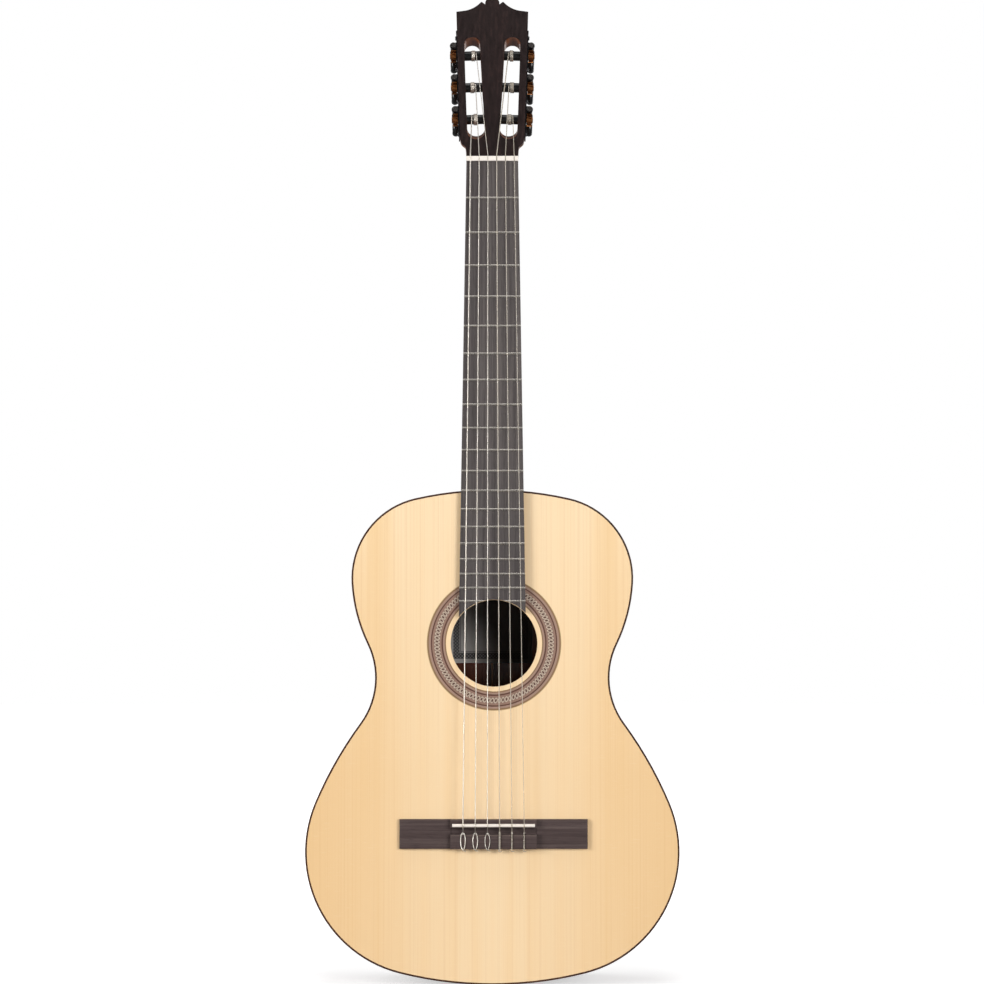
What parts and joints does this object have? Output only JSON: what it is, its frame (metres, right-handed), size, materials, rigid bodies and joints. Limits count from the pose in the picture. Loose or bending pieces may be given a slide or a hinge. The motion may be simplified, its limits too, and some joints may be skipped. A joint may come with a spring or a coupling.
{
  "type": "classical guitar",
  "caption": "Nylon-strung classical guitar with a hollow figure-of-eight body, slotted head and geared tuning machines that wind the strings.",
  "frame": {"origin": "centre line at the nut's front edge, in the plane of the soundboard's face, where the fingerboard is glued to the neck", "axes": "+Z along the neck towards the head, +Y from the front to the back (the player and listener side is -Y), +X across towards the treble strings"},
  "size_m": [0.3654, 0.1139, 0.981],
  "materials": {
    "spruce_top": "gloss lacquer",
    "rosette_inlay": "gloss lacquer",
    "back_and_side_wood": "gloss lacquer",
    "binding_wood": "gloss lacquer",
    "inner_wood": "bare",
    "label_paper": "matte",
    "neck_wood": "satin lacquer",
    "dark_rosewood": "oiled",
    "fret_wire": "polished",
    "bone": "satin",
    "plate_metal": "black nickel",
    "screw_steel": "black nickel",
    "roller_plastic": "satin",
    "gear_bronze": "polished",
    "worm_steel": "polished",
    "button_plastic": "gloss",
    "wound_string": "wound wire",
    "nylon_string": "clear nylon"
  },
  "bodies": {
    "guitar": {"back_braces": "inner_wood", "back_plate": "back_and_side_wood", "bindings": "binding_wood", "bridge": "dark_rosewood", "fingerboard": "dark_rosewood", "frets": "fret_wire", "head_veneer": "dark_rosewood", "heel_cap": "dark_rosewood", "label": "label_paper", "linings": "inner_wood", "neck": "neck_wood", "neck_block": "inner_wood", "nut": "bone", "plate_screws": "screw_steel", "rosette": "rosette_inlay", "saddle": "bone", "side_bass": "back_and_side_wood", "side_treble": "back_and_side_wood", "soundboard": "spruce_top", "soundboard_braces": "inner_wood", "soundhole_patch": "inner_wood", "string_a5": "wound_string", "string_b2": "nylon_string", "string_d4": "wound_string", "string_e1": "nylon_string", "string_e6": "wound_string", "string_g3": "nylon_string", "tail_block": "inner_wood", "tuner_plate_bass": "plate_metal", "tuner_plate_treble": "plate_metal"},
    "worm_e6": {"worm_shaft_e6": "worm_steel", "button_e6": "button_plastic"},
    "roller_e6": {"roller_e6": "roller_plastic", "gear_e6": "gear_bronze", "winding_e6": "wound_string"},
    "worm_a5": {"worm_shaft_a5": "worm_steel", "button_a5": "button_plastic"},
    "roller_a5": {"roller_a5": "roller_plastic", "gear_a5": "gear_bronze", "winding_a5": "wound_string"},
    "worm_d4": {"worm_shaft_d4": "worm_steel", "button_d4": "button_plastic"},
    "roller_d4": {"roller_d4": "roller_plastic", "gear_d4": "gear_bronze", "winding_d4": "wound_string"},
    "worm_g3": {"worm_shaft_g3": "worm_steel", "button_g3": "button_plastic"},
    "roller_g3": {"roller_g3": "roller_plastic", "gear_g3": "gear_bronze", "winding_g3": "nylon_string"},
    "worm_b2": {"worm_shaft_b2": "worm_steel", "button_b2": "button_plastic"},
    "roller_b2": {"roller_b2": "roller_plastic", "gear_b2": "gear_bronze", "winding_b2": "nylon_string"},
    "worm_e1": {"worm_shaft_e1": "worm_steel", "button_e1": "button_plastic"},
    "roller_e1": {"roller_e1": "roller_plastic", "gear_e1": "gear_bronze", "winding_e1": "nylon_string"}
  },
  "joints": [
    {"name": "button_turn_e6", "type": "hinge", "parent": "guitar", "child": "worm_e6", "pos_m": [-0.03692, 0.02056, 0.05273], "axis": [0, 0.9659, -0.2588], "continuous": true},
    {"name": "roller_turn_e6", "type": "hinge", "parent": "guitar", "child": "roller_e6", "pos_m": [-0.03269, 0.01855, 0.04527], "axis": [0.9996, 0.0077, 0.0286], "continuous": true},
    {"name": "button_turn_a5", "type": "hinge", "parent": "guitar", "child": "worm_a5", "pos_m": [-0.03796, 0.02961, 0.08654], "axis": [0, 0.9659, -0.2588], "continuous": true},
    {"name": "roller_turn_a5", "type": "hinge", "parent": "guitar", "child": "roller_a5", "pos_m": [-0.03373, 0.02761, 0.07908], "axis": [0.9996, 0.0077, 0.0286], "continuous": true},
    {"name": "button_turn_d4", "type": "hinge", "parent": "guitar", "child": "worm_d4", "pos_m": [-0.039, 0.03867, 0.12035], "axis": [0, 0.9659, -0.2588], "continuous": true},
    {"name": "roller_turn_d4", "type": "hinge", "parent": "guitar", "child": "roller_d4", "pos_m": [-0.03477, 0.03667, 0.11288], "axis": [0.9996, 0.0077, 0.0286], "continuous": true},
    {"name": "button_turn_g3", "type": "hinge", "parent": "guitar", "child": "worm_g3", "pos_m": [0.039, 0.03867, 0.12035], "axis": [0, 0.9659, -0.2588], "continuous": true},
    {"name": "roller_turn_g3", "type": "hinge", "parent": "guitar", "child": "roller_g3", "pos_m": [0.03477, 0.03667, 0.11288], "axis": [0.9996, -0.0077, -0.0286], "continuous": true},
    {"name": "button_turn_b2", "type": "hinge", "parent": "guitar", "child": "worm_b2", "pos_m": [0.03796, 0.02961, 0.08654], "axis": [0, 0.9659, -0.2588], "continuous": true},
    {"name": "roller_turn_b2", "type": "hinge", "parent": "guitar", "child": "roller_b2", "pos_m": [0.03373, 0.02761, 0.07908], "axis": [0.9996, -0.0077, -0.0286], "continuous": true},
    {"name": "button_turn_e1", "type": "hinge", "parent": "guitar", "child": "worm_e1", "pos_m": [0.03692, 0.02056, 0.05273], "axis": [0, 0.9659, -0.2588], "continuous": true},
    {"name": "roller_turn_e1", "type": "hinge", "parent": "guitar", "child": "roller_e1", "pos_m": [0.03269, 0.01855, 0.04527], "axis": [0.9996, -0.0077, -0.0286], "continuous": true}
  ],
  "couplings": [
    {"joint": "roller_turn_e6", "follows": "button_turn_e6", "ratio": 0.071429},
    {"joint": "roller_turn_a5", "follows": "button_turn_a5", "ratio": 0.071429},
    {"joint": "roller_turn_d4", "follows": "button_turn_d4", "ratio": 0.071429},
    {"joint": "roller_turn_g3", "follows": "button_turn_g3", "ratio": 0.071429},
    {"joint": "roller_turn_b2", "follows": "button_turn_b2", "ratio": 0.071429},
    {"joint": "roller_turn_e1", "follows": "button_turn_e1", "ratio": 0.071429}
  ]
}
